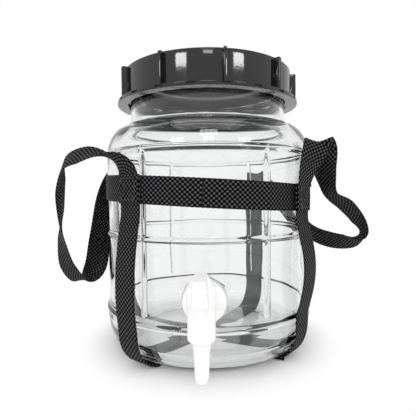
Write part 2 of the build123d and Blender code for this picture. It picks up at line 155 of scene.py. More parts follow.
def webbingMaterial():
    # Woven polypropylene webbing, dyed black: dull yarns in a basket weave, whose floats catch a little light.
    # The colour paints shade into the hollows between yarns and paints highlights on the floats.
    material, tree = newMaterial("wovenPolypropylene")
    flat = addNode(tree, "ShaderNodeUVMap", {"uv_map": "length"})
    axes = addNode(tree, "ShaderNodeSeparateXYZ", {}, {"Vector": flat.outputs["UV"]})
    waves = []
    for axis, cell in (("X", webbingWeave["acrossCell"]), ("Y", webbingWeave["alongCell"])):
        turn = addNode(tree, "ShaderNodeMath", {"operation": "MULTIPLY", 1: 1000 * pi / cell},
                       {0: axes.outputs[axis]})
        waves.append(addNode(tree, "ShaderNodeMath", {"operation": "COSINE"}, {0: turn.outputs[0]}))
    weave = addNode(tree, "ShaderNodeMath", {"operation": "MULTIPLY"},
                    {0: waves[0].outputs[0], 1: waves[1].outputs[0]})
    height = addNode(tree, "ShaderNodeMapRange", {"From Min": -1.0, "From Max": 1.0},
                     {"Value": weave.outputs[0]})
    stretch = addNode(tree, "ShaderNodeMapping", {"Scale": (1.0, 0.25, 1.0)}, {"Vector": flat.outputs["UV"]})
    fibres = addNode(tree, "ShaderNodeTexNoise",
                     {"Scale": 1000 / webbingWeave["fibre"], "Detail": 2.0, "Roughness": 0.6},
                     {"Vector": stretch.outputs["Vector"]})
    mixed = addNode(tree, "ShaderNodeMath", {"operation": "MULTIPLY_ADD", 1: 0.35},
                    {0: fibres.outputs["Fac"], 2: height.outputs["Result"]})
    # painted shade and highlight: near-black in the hollows between yarns, lighter on the raised floats
    weaveShadeAndHighlight = addNode(tree, "ShaderNodeValToRGB", {}, {"Fac": mixed.outputs[0]})
    weaveShadeAndHighlight.color_ramp.elements[0].position, weaveShadeAndHighlight.color_ramp.elements[0].color = 0.5, fromHex("#040404")
    weaveShadeAndHighlight.color_ramp.elements[1].position, weaveShadeAndHighlight.color_ramp.elements[1].color = 1.0, fromHex("#505053")
    middle = weaveShadeAndHighlight.color_ramp.elements.new(0.72)
    middle.color = fromHex("#151516")
    shine = addNode(tree, "ShaderNodeMapRange",
                    {"From Min": 0.45, "From Max": 1.0, "To Min": 0.0, "To Max": 0.3},
                    {"Value": mixed.outputs[0]})  # the hollows between yarns give no highlight
    bump = addNode(tree, "ShaderNodeBump", {"Strength": 1.0, "Distance": 0.0007},
                   {"Height": mixed.outputs[0]})
    shader = addNode(tree, "ShaderNodeBsdfPrincipled", {
        "Roughness": 0.6, "Sheen Weight": 0.02, "Sheen Roughness": 0.4, "Sheen Tint": fromHex("#c8c8cc"),
    }, {"Base Color": weaveShadeAndHighlight.outputs["Color"], "Normal": bump.outputs["Normal"],
        "Specular IOR Level": shine.outputs["Result"]})
    addNode(tree, "ShaderNodeOutputMaterial", {}, {"Surface": shader.outputs["BSDF"]})
    return material


def mouldedPlastic(name, low, high, roughness, extra=None, softEdge=0.0):
    # Injection moulded plastic: an even colour, a faint mottle and a very shallow orange-peel skin.
    material, tree = newMaterial(name)
    place = addNode(tree, "ShaderNodeTexCoord")
    mottle = addNode(tree, "ShaderNodeTexNoise", {"Scale": 1000 / 14, "Detail": 3.0, "Roughness": 0.6},
                     {"Vector": place.outputs["Object"]})  # 14 mm patches
    colour = addNode(tree, "ShaderNodeValToRGB", {}, {"Fac": mottle.outputs["Fac"]})
    colour.color_ramp.elements[0].position, colour.color_ramp.elements[0].color = 0.3, fromHex(low)
    colour.color_ramp.elements[1].position, colour.color_ramp.elements[1].color = 0.7, fromHex(high)
    peel = addNode(tree, "ShaderNodeTexNoise", {"Scale": 1000 / 2.2, "Detail": 1.0},
                   {"Vector": place.outputs["Object"]})  # 2.2 mm orange peel
    bump = addNode(tree, "ShaderNodeBump", {"Strength": 0.06, "Distance": 0.0002},
                   {"Height": peel.outputs["Fac"]})
    if softEdge:  # the mould's small corner radius, in metres
        rounded = addNode(tree, "ShaderNodeBevel", {"samples": 6, "Radius": softEdge})
        tree.links.new(rounded.outputs["Normal"], bump.inputs["Normal"])
    gloss = addNode(tree, "ShaderNodeMapRange", {"To Min": roughness * 0.85, "To Max": roughness * 1.25},
                    {"Value": mottle.outputs["Fac"]})
    settings = {"Specular IOR Level": 0.5}
    settings.update(extra or {})
    shader = addNode(tree, "ShaderNodeBsdfPrincipled", settings, {
        "Base Color": colour.outputs["Color"], "Roughness": gloss.outputs["Result"],
        "Normal": bump.outputs["Normal"],
    })
    addNode(tree, "ShaderNodeOutputMaterial", {}, {"Surface": shader.outputs["BSDF"]})
    return material


jarGlass = glassMaterial()
webbingBlack = webbingMaterial()
lidPlastic = mouldedPlastic("mouldedBlackAbs", "#0f0f10", "#151516", 0.06)  # ABS: deep black, polished mould
spigotPlastic = mouldedPlastic(
    "mouldedWhitePolypropylene", "#f1f2f1", "#f7f7f6", 0.32,
    {"Subsurface Weight": 0.15, "Subsurface Scale": 0.002}, softEdge=0.0006)  # waxy white, rounded edges
washerRubber = mouldedPlastic("softSiliconeRubber", "#dfe2e2", "#e9ebea", 0.45,
                              {"Transmission Weight": 0.25, "IOR": 1.41})  # cloudy, a little see-through
linerFoam = mouldedPlastic("closedCellFoam", "#d9d9d4", "#e2e2de", 0.8)  # matt packing foam
print("materials made")


jarShape = {
    "bodyRadius": 108.75, "wall": 4.0, "footZ": 1.7, "ringIn": 84.0, "ringOut": 88.0, "puntRise": 5.0,
    "heelTop": 35.7, "heelRadius": 110.125, "bumperTop": 49.7, "bumperRadius": 111.5,
    "shoulderZ": 198.6, "shoulderRise": 31.6, "neckRadius": 83.5, "neckFillet": 2.0,
    "rimZ": 282.7, "lip": 2.0,
    "innerCorner": 82.0, "floorThick": 5.0, "floorAtRing": 6.0,
    "beadCount": 6, "beadPhase": 30.0, "beadProud": 2.0, "beadHalf": 3.6,
    "midBeadZ": 119.8, "topBeadZ": 199.5,
    "knotRadius": 4.6, "knotProud": 2.7, "heelRidgeZ": 12.5, "heelRidge": 0.6,
    "threadZ": 260.0, "threadPitch": 8.0, "threadDepth": 2.0, "threadTurns": 1.25,
    "holeZ": 69.5, "holeRadius": 13.0, "sharpAngle": 50,
    "ripple": 0.22,  # how far the blown inner face wanders
}


def ellipseRun(centreR, centreZ, radiusR, radiusZ, start, end, count):
    angles = np.radians(np.linspace(start, end, count))
    return [(centreR + radiusR * cos(a), centreZ + radiusZ * sin(a)) for a in angles]


def softBump(distance, half):
    return (1 - (distance / half) ** 2) ** 2 if distance < half else 0.0


def bumperRadiusAt(z):  # a crisp ridge on the slope between heel and wall
    s = jarShape
    t = (z - s["heelTop"]) / (s["bumperTop"] - s["heelTop"])
    slope = s["heelRadius"] + (s["bodyRadius"] - s["heelRadius"]) * t
    middle = (s["heelTop"] + s["bumperTop"]) / 2
    ridge = s["bumperRadius"] - 0.2 - (s["heelRadius"] + s["bodyRadius"]) / 2
    return slope + ridge * softBump(abs(z - middle), 3.8)


def jarOuterRows():
    s = jarShape
    rows = [(r, s["footZ"] + s["puntRise"] * (1 - (r / s["ringIn"]) ** 2))
            for r in (12, 26, 40, 52, 62, 70, 76, 80, 83)]
    rows += [(84.4, s["footZ"] + 0.02), (86.0, s["footZ"]), (87.6, s["footZ"] + 0.02)]
    heel = ellipseRun(s["ringOut"], s["heelTop"], s["heelRadius"] - s["ringOut"], s["heelTop"] - s["footZ"],
                      273, 360, 52)
    rows += [(r + s["heelRidge"] * softBump(abs(z - s["heelRidgeZ"]), 2.2), z) for r, z in heel]
    rows += [(bumperRadiusAt(z), z) for z in np.linspace(s["heelTop"] + 0.5, s["bumperTop"] - 0.3, 30)]
    zs = [49.9, 50.4, 51, 51.6, 52.3, 53, 54, 55.5, 58]
    zs += list(np.arange(63, 112, 5)) + list(np.arange(113.6, 126.2, 0.6)) + list(np.arange(130, 191, 5))
    zs += list(np.arange(193.5, s["shoulderZ"], 0.6))
    rows += [(s["bodyRadius"], z) for z in zs]
    throat = s["neckRadius"] + s["neckFillet"]
    neckLow = s["shoulderZ"] + s["shoulderRise"]
    rows += ellipseRun(throat, s["shoulderZ"], s["bodyRadius"] - throat, s["shoulderRise"], 0, 9, 12)
    rows += ellipseRun(throat, s["shoulderZ"], s["bodyRadius"] - throat, s["shoulderRise"], 10.5, 88, 30)
    rows += [(throat - s["neckFillet"] * sin(a), neckLow + s["neckFillet"] * (1 - cos(a)))
             for a in np.radians((0, 18, 36, 54, 72, 90))]
    neckHeights = list(np.arange(236, 256, 4)) + list(np.arange(257, 273.6, 0.5)) + [276, 279]
    rows += [(s["neckRadius"], z) for z in neckHeights]
    rows += [(s["neckRadius"] - s["lip"] + s["lip"] * cos(a), s["rimZ"] - s["lip"] + s["lip"] * sin(a))
             for a in np.radians(np.linspace(0, 180, 11))]
    return rows


def jarInnerRows():
    s = jarShape
    inner, neck = s["bodyRadius"] - s["wall"], s["neckRadius"] - s["wall"]
    throat, throatZ = neck + s["neckFillet"], s["shoulderZ"] + s["shoulderRise"] - s["wall"]
    rows = [(neck, z) for z in np.linspace(277, throatZ + s["neckFillet"] + 2, 12)]
    rows += [(throat - s["neckFillet"] * sin(a), throatZ + s["neckFillet"] * (1 - cos(a)))
             for a in np.radians((90, 60, 30, 0))]
    rows += ellipseRun(throat, s["shoulderZ"], inner - throat, throatZ - s["shoulderZ"], 86, 0, 18)
    rows += [(inner, z) for z in np.linspace(s["shoulderZ"] - 6, s["heelTop"] + 5, 24)]
    corner, floorZ = s["innerCorner"], s["footZ"] + s["floorAtRing"]
    rows += ellipseRun(corner, s["heelTop"], inner - corner, s["heelTop"] - floorZ, 360, 270, 18)
    high = s["footZ"] + s["puntRise"] + s["floorThick"]
    rows += [(r, high - (high - floorZ) * (r / corner) ** 2) for r in (76, 68, 58, 46, 32, 16)]
    return rows


def jarColumns():
    s = jarShape
    sector = 360 / s["beadCount"]
    near = list(np.arange(-2.4, 2.41, 0.3))
    far = list(np.linspace(2.4, sector - 2.4, 32)[1:-1])
    return [s["beadPhase"] + k * sector + a for k in range(s["beadCount"]) for a in near + far]


def beadHeight(azimuth, z):
    s = jarShape
    sector = 360 / s["beadCount"]
    offset = (azimuth - s["beadPhase"] + sector / 2) % sector - sector / 2
    arc = abs(radians(offset)) * s["bodyRadius"]
    low = s["bumperTop"] + 3.0
    away = sqrt(arc ** 2 + max(0.0, low - z, z - s["topBeadZ"]) ** 2)
    upright = softBump(away, s["beadHalf"])
    hoops = max(softBump(abs(z - level), s["beadHalf"]) for level in (s["midBeadZ"], s["topBeadZ"]))
    knot = softBump(sqrt(arc ** 2 + (z - s["midBeadZ"]) ** 2), s["knotRadius"])
    knot = knot * s["knotProud"] / s["beadProud"]
    return s["beadProud"] * (upright ** 6 + hoops ** 6 + knot ** 6) ** (1 / 6)


def threadHeight(azimuth, z):  # right-hand thread that starts on the right, at azimuth 90
    s = jarShape
    start = radians(azimuth - 90) % (2 * pi)
    height = 0.0
    for k in range(2):
        turn = start / (2 * pi) + k
        if 0 <= turn <= s["threadTurns"]:
            away = abs(z - s["threadZ"] - s["threadPitch"] * turn)
            ends = min(1.0, turn / 0.05, (s["threadTurns"] - turn) / 0.05)
            ends = ends * ends * (3 - 2 * ends)
            height = max(height, s["threadDepth"] * ends * min(1.0, max(0.0, 2.0 - away)))
    return height


def makeJar():
    s = jarShape
    columns = jarColumns()
    outer, inner = jarOuterRows(), jarInnerRows()
    points = [(0, 0, s["footZ"] + s["puntRise"])]
    for r, z in outer:
        shaped = s["bumperTop"] <= z < 215 and r > 95
        threaded = 255 < z < 275 and r > s["neckRadius"] - 0.01
        for azimuth in columns:
            grow = beadHeight(azimuth, z) if shaped else threadHeight(azimuth, z) if threaded else 0.0
            points.append(tuple(onRound(r + grow, azimuth, z)))
    for r, z in inner:
        for azimuth in columns:
            p = onRound(r, azimuth, z)
            wander = s["ripple"] * noise.noise(p / 22) if z < 225 else 0.0
            points.append(tuple(p + Vector((p.x, p.y, 0)).normalized() * wander))
    points.append((0, 0, s["footZ"] + s["puntRise"] + s["floorThick"]))
    count, rows = len(columns), len(outer) + len(inner)
    faces = [tuple(1 + v for v in f) for f in gridFaces(rows, count, closeColumns=True)]
    top = 1 + (rows - 1) * count
    for j in range(count):
        k = (j + 1) % count
        faces.append((0, 1 + k, 1 + j))
        faces.append((top + j, top + k, len(points) - 1))
    jar = makePiece("jarGlassBody", points, faces, jarGlass, "jar")
    bpy.ops.mesh.primitive_cylinder_add(
        vertices=96, radius=s["holeRadius"] / 1000, depth=0.05,
        location=(0, -s["bodyRadius"] / 1000, s["holeZ"] / 1000), rotation=(pi / 2, 0, 0))
    drill = bpy.context.active_object
    cut = jar.modifiers.new("spigotHole", "BOOLEAN")
    cut.operation, cut.solver, cut.object = "DIFFERENCE", "MANIFOLD", drill
    bpy.context.view_layer.update()
    drilled = bpy.data.meshes.new_from_object(jar.evaluated_get(bpy.context.evaluated_depsgraph_get()))
    jar.modifiers.clear()
    jar.data = drilled
    jar.data.materials.clear()
    jar.data.materials.append(jarGlass)
    bpy.data.objects.remove(drill)
    jar.data.shade_smooth()
    jar.data.set_sharp_from_angle(angle=radians(s["sharpAngle"]))
    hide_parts("jar")
    return jar


jarPiece = makeJar()
print("jar made:", len(jarPiece.data.polygons), "faces")


harness = {
    "width": 25.0, "thickness": 1.4, "gap": 0.3,
    "beltZ": 160.0, "beltTilt": 3.35, "beltTiltAzimuth": 2.0,
    "strapA": (-35.5, 147.6), "strapB": (52.5, -112.0), "aboveBelt": 0.5,
    "slacksA": ((8.0, 5.0), (2.0, 50.0)), "slacksB": ((8.0, 45.0), (3.0, 50.0)), "slackStart": 10.0,
    "humpA": 0.0, "humpB": 1.7,  # strap B passes over strap A under the base
    "turnRadius": 90.0, "kneeZ": 35.7, "strapStep": 12.0, "strapBends": 9,
    "crossingFlat": 15.5, "crossingRamp": 14.0,
    "weaveDepth": 0.2, "columns": 24, "scallop": 0.012,
}


def beltHeight(azimuth):
    h = harness
    drop = jarShape["bodyRadius"] * tan(radians(h["beltTilt"]))
    return h["beltZ"] - drop * sin(radians(azimuth - h["beltTiltAzimuth"]))


def strapRadius():
    return jarShape["bodyRadius"] + jarShape["beadProud"] + 2 * harness["gap"] + 1.5 * harness["thickness"]


def strapSlack(azimuth, z, slack):
    depth, low = slack
    high = beltHeight(azimuth) - harness["width"] / 2 - harness["slackStart"]
    return depth * sin(pi * (z - low) / (high - low)) if low < z < high else 0.0


def acrossAt(azimuth):
    return onRound(1, azimuth + 90, 0)


def strapSide(azimuth, slack):
    h = harness
    top = beltHeight(azimuth) + h["width"] / 2 + h["aboveBelt"]
    falls = ceil((top - h["kneeZ"]) / h["strapStep"])
    stations = []
    for i in range(falls + 1):
        z = top + (h["kneeZ"] - top) * i / falls
        out = strapRadius() + strapSlack(azimuth, z, slack)
        stations.append((onRound(out, azimuth, z), acrossAt(azimuth)))
    reach = strapRadius() + strapSlack(azimuth, h["kneeZ"], slack) - h["turnRadius"]
    for i in range(1, h["strapBends"] + 1):
        angle = pi / 2 * i / h["strapBends"]
        z = h["kneeZ"] - (h["kneeZ"] - h["thickness"] / 2) * sin(angle)
        stations.append((onRound(h["turnRadius"] + reach * cos(angle), azimuth, z), acrossAt(azimuth)))
    return stations


def strapRoute(ends, slacks, hump):
    down = strapSide(ends[0], slacks[0])
    up = [(p, -across) for p, across in reversed(strapSide(ends[1], slacks[1]))]
    start, finish = down[-1], up[0]
    run = (finish[0] - start[0]).length
    flat, weaveShadeAndHighlight = harness["crossingFlat"], harness["crossingRamp"]
    marks = [(-flat - weaveShadeAndHighlight, 0), (-flat - weaveShadeAndHighlight / 2, 0.5), (-flat, 1),
             (flat, 1), (flat + weaveShadeAndHighlight / 2, 0.5), (flat + weaveShadeAndHighlight, 0)]
    under = []
    for mark, lift in marks:
        share = 0.5 + mark / run
        point = start[0].lerp(finish[0], share) + Vector((0, 0, lift * hump))
        under.append((point, start[1].lerp(finish[1], share)))
    return down + under + up


def beltRoute():
    h, s = harness, jarShape
    onWall = s["bodyRadius"] + h["gap"]
    lift = degrees(acos(onWall / (onWall + s["beadProud"])))
    stations = []
    sector = 360 / s["beadCount"]
    for i in range(360):
        azimuth = float(i)
        offset = abs((azimuth - s["beadPhase"] + sector / 2) % sector - sector / 2)
        inner = onWall / cos(radians(lift - offset)) if offset < lift else onWall
        place = onRound(inner + h["thickness"] / 2, azimuth, beltHeight(azimuth))
        stations.append((place, Vector((0, 0, 1))))
    return stations


def handleEnd(azimuth):
    h = harness
    radius = strapRadius() + h["thickness"] + h["gap"]
    return [(onRound(radius + h["gap"] * (1 + share), azimuth, beltHeight(azimuth) + share * h["width"] / 2),
             acrossAt(azimuth)) for share in (-1, 0, 1)]


handleRoutes = {  # azimuth, distance from the glass, height over the belt, heading and climb of the width
    "left": [
        (-38, 9.5, 25, 50, 0), (-46, 16, 34, 26, -12), (-55, 29, 36, 22, -33), (-62.5, 42, 29, 19, -26),
        (-68.5, 45.5, 8, 6, -3), (-74.5, 47, -20, 12, 2), (-79.5, 49, -52, 40, 9), (-82.5, 46, -79, 58, 14),
        (-86, 35, -96, 66, 10), (-90.5, 22, -84, 95, -4), (-96, 20, -48, 132, -7), (-103, 21.5, -8, 148, -6),
        (-109.5, 20, 18, 155, -3), (-112, 14, 29, 158, 0),
    ],
    "right": [
        (54, 9, 22, 130, 0), (56.2, 13, 37, 108, -3), (59.8, 14.5, 47, 97, 3), (65, 17, 41, 78, 5),
        (70, 16, 22, 42, 8), (76.5, 21, 0, 4, 14), (81.5, 38, -14, -2, 28), (85.5, 53, -31, -4, 26),
        (89, 59, -46, -8, 30), (92.5, 51, -56, -16, 42), (97.5, 35, -56, -16, 52), (107, 23, -50, -8, 52),
        (120, 21, -34, 14, 42), (132, 21, -8, 38, 25), (143, 22, 10, 53, 6), (147.6, 14, 27, 57.6, 0),
    ],
}


def handleRoute(first, last, stations):
    middle = []
    for azimuth, off, over, heading, climb in stations:
        across = onRound(cos(radians(climb)), heading, sin(radians(climb)))
        middle.append((onRound(jarShape["bodyRadius"] + off, azimuth, harness["beltZ"] + over), across))
    return handleEnd(first) + middle + [(p, -across) for p, across in reversed(handleEnd(last))]


def blendStations(stations, closed=False, fine=24):
    # A smooth line through the stations, then points an even half weave cell apart on it.
    pairs = np.array([[*p, *a] for p, a in stations])
    count = len(pairs)
    dense = []
    for i in range(count if closed else count - 1):
        if closed:
            p0, p1, p2, p3 = pairs[i - 1], pairs[i], pairs[(i + 1) % count], pairs[(i + 2) % count]
        else:
            p0, p1, p2, p3 = pairs[max(i - 1, 0)], pairs[i], pairs[i + 1], pairs[min(i + 2, count - 1)]
        t = (np.arange(fine) / fine)[:, None]
        dense.append(0.5 * (2 * p1 + (p2 - p0) * t + (2 * p0 - 5 * p1 + 4 * p2 - p3) * t ** 2
                            + (3 * p1 - p0 - 3 * p2 + p3) * t ** 3))
    dense = np.vstack(dense + [pairs[:1] if closed else pairs[-1:]])
    gone = np.concatenate([[0], np.cumsum(np.linalg.norm(np.diff(dense[:, :3], axis=0), axis=1))])
    cells = max(2, round(gone[-1] / webbingWeave["alongCell"] / 2) * 2)
    even = np.linspace(0, gone[-1], 2 * cells + 1)
    return np.stack([np.interp(even, gone, dense[:, k]) for k in range(6)], axis=1), gone[-1]


def makeWebbing(name, stations, node, closed=False):
    h = harness
    line, length = blendStations(stations, closed)
    if closed:
        line = line[:-1]
    rows, columns = len(line), h["columns"] + 1
    middle, across = line[:, :3], line[:, 3:]
    if closed:
        along = np.roll(middle, -1, 0) - np.roll(middle, 1, 0)
    else:
        along = np.gradient(middle, axis=0)
    along /= np.linalg.norm(along, axis=1)[:, None]
    across = across - along * (across * along).sum(1)[:, None]
    across /= np.linalg.norm(across, axis=1)[:, None]
    normal = np.cross(along, across)
    j = np.arange(columns)
    side = (j / h["columns"] - 0.5) * h["width"]
    weave = np.cos(np.arange(rows) * pi / 2)[:, None] * np.cos(j * pi / 2)[None, :]
    edge = np.minimum(j, h["columns"] - j)
    half = h["thickness"] / 2 * np.where(edge == 0, 0.45, np.where(edge == 1, 0.9, 1.0))
    scallop = 1 + h["scallop"] * np.cos(np.arange(rows) * pi / 2)
    wide = side[None, :] * scallop[:, None]
    sheet = middle[:, None, :] + across[:, None, :] * wide[:, :, None]
    # An edge that droops at the heel lies on the table.
    sheet[:, :, 2] = np.maximum(sheet[:, :, 2], h["thickness"] / 2)
    layers = []
    for face in (1, -1):
        lift = face * half[None, :] + h["weaveDepth"] * weave * (edge > 0)
        layers.append(sheet + normal[:, None, :] * lift[:, :, None])
    loop = np.concatenate([layers[0], layers[1][:, ::-1]], axis=1)
    points = loop.reshape(-1, 3)
    faces = gridFaces(rows, 2 * columns, closeRows=closed, closeColumns=True, flip=True)
    if not closed:
        last = (rows - 1) * 2 * columns
        for c in range(columns - 1):
            mirror = 2 * columns - 1 - c
            faces.append((c, c + 1, mirror - 1, mirror))
            faces.append((last + mirror, last + mirror - 1, last + c + 1, last + c))
    run = np.linspace(0, length, rows, endpoint=not closed)
    widths = np.concatenate([side, side[::-1]])
    uv = np.stack(np.broadcast_arrays(widths[None, :], run[:, None]), axis=-1).reshape(-1, 2)
    piece = makePiece(name, points, faces, webbingBlack, "jar", uv=uv)
    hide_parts(node)


makeWebbing("beltWebbing", beltRoute(), "belt", closed=True)
makeWebbing("strapWebbingA", strapRoute(harness["strapA"], harness["slacksA"], harness["humpA"]),
            "base_strap_a")
makeWebbing("strapWebbingB", strapRoute(harness["strapB"], harness["slacksB"], harness["humpB"]),
            "base_strap_b")
leftRoute = handleRoute(harness["strapA"][0], harness["strapB"][1], handleRoutes["left"])
rightRoute = handleRoute(harness["strapB"][0], harness["strapA"][1], handleRoutes["right"])
makeWebbing("handleWebbingLeft", leftRoute, "handle_left")
makeWebbing("handleWebbingRight", rightRoute, "handle_right")
print("webbing made")


# Each of the four patches has a box of lock stitches with a cross, and a turned hem.
sewing = {
    "stitch": 3.0, "space": 1.2, "thick": 0.35, "inset": 3.2, "sides": 6,
    "stitchEnds": (0.14, 0.86),  # where a stitch starts and ends in its share of the seam
    # Share of the stitch's length, share of its thickness, and lift off the webbing.
    "profile": ((0.0, 0.35, -0.25), (0.12, 1.0, 0.12), (0.5, 1.1, 0.3), (0.88, 1.0, 0.12), (1.0, 0.35, -0.25)),
    "hemHeight": 4.5, "hemThick": 1.5, "hemSides": 18, "hemColumns": 24, "hemWider": 0.8, "hemBelowEdge": 1.0,
    "hemRound": 11.0,  # length of webbing round the roll
}


def threadMaterial():
    # Bonded polyester thread: black, a little shinier than the webbing, with slow lighter and darker bands;
    # the lighter bands are painted highlights on the stitches.
    material, tree = newMaterial("bondedPolyesterThread")
    place = addNode(tree, "ShaderNodeTexCoord")
    paintedStitchHighlights = addNode(tree, "ShaderNodeTexWave",
                    {"Scale": 1000 / 20, "Distortion": 1.0, "bands_direction": "DIAGONAL"},
                    {"Vector": place.outputs["Object"]})
    # painted highlight: the lighter end of the bands brightens some stitches as if they caught the light
    colour = addNode(tree, "ShaderNodeValToRGB", {}, {"Fac": paintedStitchHighlights.outputs["Fac"]})
    colour.color_ramp.elements[0].color = fromHex("#1a1a1b")
    colour.color_ramp.elements[1].color = fromHex("#4a4a4c")
    shader = addNode(tree, "ShaderNodeBsdfPrincipled", {"Roughness": 0.42, "Specular IOR Level": 0.5},
                     {"Base Color": colour.outputs["Color"]})
    addNode(tree, "ShaderNodeOutputMaterial", {}, {"Surface": shader.outputs["BSDF"]})
    return material


sewingThread = threadMaterial()


def stitchTube(points, faces, start, finish, outward):
    w = sewing
    along = (finish - start).normalized()
    side = along.cross(outward).normalized()
    first = len(points)
    for share, wide, lift in w["profile"]:
        middle = start.lerp(finish, share) + outward * lift
        for k in range(w["sides"]):
            a = 2 * pi * k / w["sides"]
            points.append(tuple(middle + (side * cos(a) + outward * sin(a)) * w["thick"] * wide))
    tube = gridFaces(len(w["profile"]), w["sides"], closeColumns=True)
    faces += [tuple(first + v for v in f) for f in tube]


def makeSewing(name, azimuth):
    h, w = harness, sewing
    radius = strapRadius() + 1.5 * h["thickness"] + 3 * h["gap"] + 0.1
    middle, outward, side = beltHeight(azimuth), onRound(1, azimuth, 0), acrossAt(azimuth)
    reach = h["width"] / 2 - w["inset"]
    corners = [(-reach, -reach), (reach, -reach), (reach, reach), (-reach, reach)]
    runs = list(zip(corners, corners[1:] + corners[:1]))
    runs += [(corners[0], corners[2]), (corners[1], corners[3])]
    points, faces = [], []
    for (x0, z0), (x1, z1) in runs:
        length = sqrt((x1 - x0) ** 2 + (z1 - z0) ** 2)
        count = max(2, round(length / (w["stitch"] + w["space"])))
        for i in range(count):
            ends = []
            for share in [(i + end) / count for end in w["stitchEnds"]]:
                x, z = x0 + (x1 - x0) * share, z0 + (z1 - z0) * share
                ends.append(outward * radius + side * x + Vector((0, 0, middle + z)))
            stitchTube(points, faces, ends[0], ends[1], outward)
    makePiece(name, points, faces, sewingThread, "jar")


def makeHem(name, azimuth, above):
    # The webbing's end turned under: a short soft roll across the patch.
    h, w = harness, sewing
    radius = strapRadius() + 1.5 * h["thickness"] + 2 * h["gap"]
    middle = beltHeight(azimuth) + above
    outward, side = onRound(1, azimuth, 0), acrossAt(azimuth)
    rows, columns = w["hemSides"], w["hemColumns"]
    points, uv = [], []
    for j in range(columns + 1):
        x = (j / columns - 0.5) * (h["width"] + w["hemWider"])
        taper = 1 - 0.35 * abs(2 * j / columns - 1) ** 8
        for k in range(rows):
            a = 2 * pi * k / rows
            squash = abs(sin(a)) ** 0.7 * (1 if sin(a) > 0 else -1)
            z = cos(a) * w["hemHeight"] / 2 * taper
            out = squash * w["hemThick"] * 0.55 * taper
            points.append(tuple(outward * (radius + out) + side * x + Vector((0, 0, middle + z))))
            uv.append((x, a / (2 * pi) * w["hemRound"]))
    faces = gridFaces(columns + 1, rows, closeColumns=True)
    faces.append(tuple(reversed(range(rows))))
    faces.append(tuple(columns * rows + k for k in range(rows)))
    makePiece(name, points, faces, webbingBlack, "jar", uv=uv)


patches = {"FrontLeft": harness["strapA"][0], "BackRight": harness["strapA"][1],
           "FrontRight": harness["strapB"][0], "BackLeft": harness["strapB"][1]}
for patchName, patchAzimuth in patches.items():
    makeSewing("stitches" + patchName, patchAzimuth)
    makeHem("hem" + patchName, patchAzimuth, harness["width"] / 2 - sewing["hemBelowEdge"])
print("sewing made")


lidShape = {
    "bore": 86.1, "skirt": 90.2, "flange": 97.0, "flangeZ": 253.0, "flangeTop": 256.4,
    "ceiling": 284.5, "top": 287.1, "panel": 78.2, "panelDrop": 1.0, "edge": 1.6, "sharpAngle": 38,
    "fins": 10, "finPhase": 11.6, "finProud": 5.7, "finHalf": 1.4, "finTop": 286.5,
    "finRound": 2.0, "finEdge": 0.5, "finSunk": 1.5,
    "slotHalf": 2.2,  # degrees
    "slotLow": 253.9, "slotHigh": 255.5, "slotDeep": 1.5,
    "threadZ": 256.8, "threadDepth": 2.0, "threadTurns": 1.0, "threadPitch": 8.0,
}


def lidThreadHeight(azimuth, z):
    d = lidShape
    turn = (radians(azimuth - 90) % (2 * pi)) / (2 * pi)
    away = min(abs(z - d["threadZ"] - d["threadPitch"] * (turn + k)) for k in (-1, 0))
    return d["threadDepth"] * min(1.0, max(0.0, 2.0 - away)) if z > d["threadZ"] - 2 else 0.0


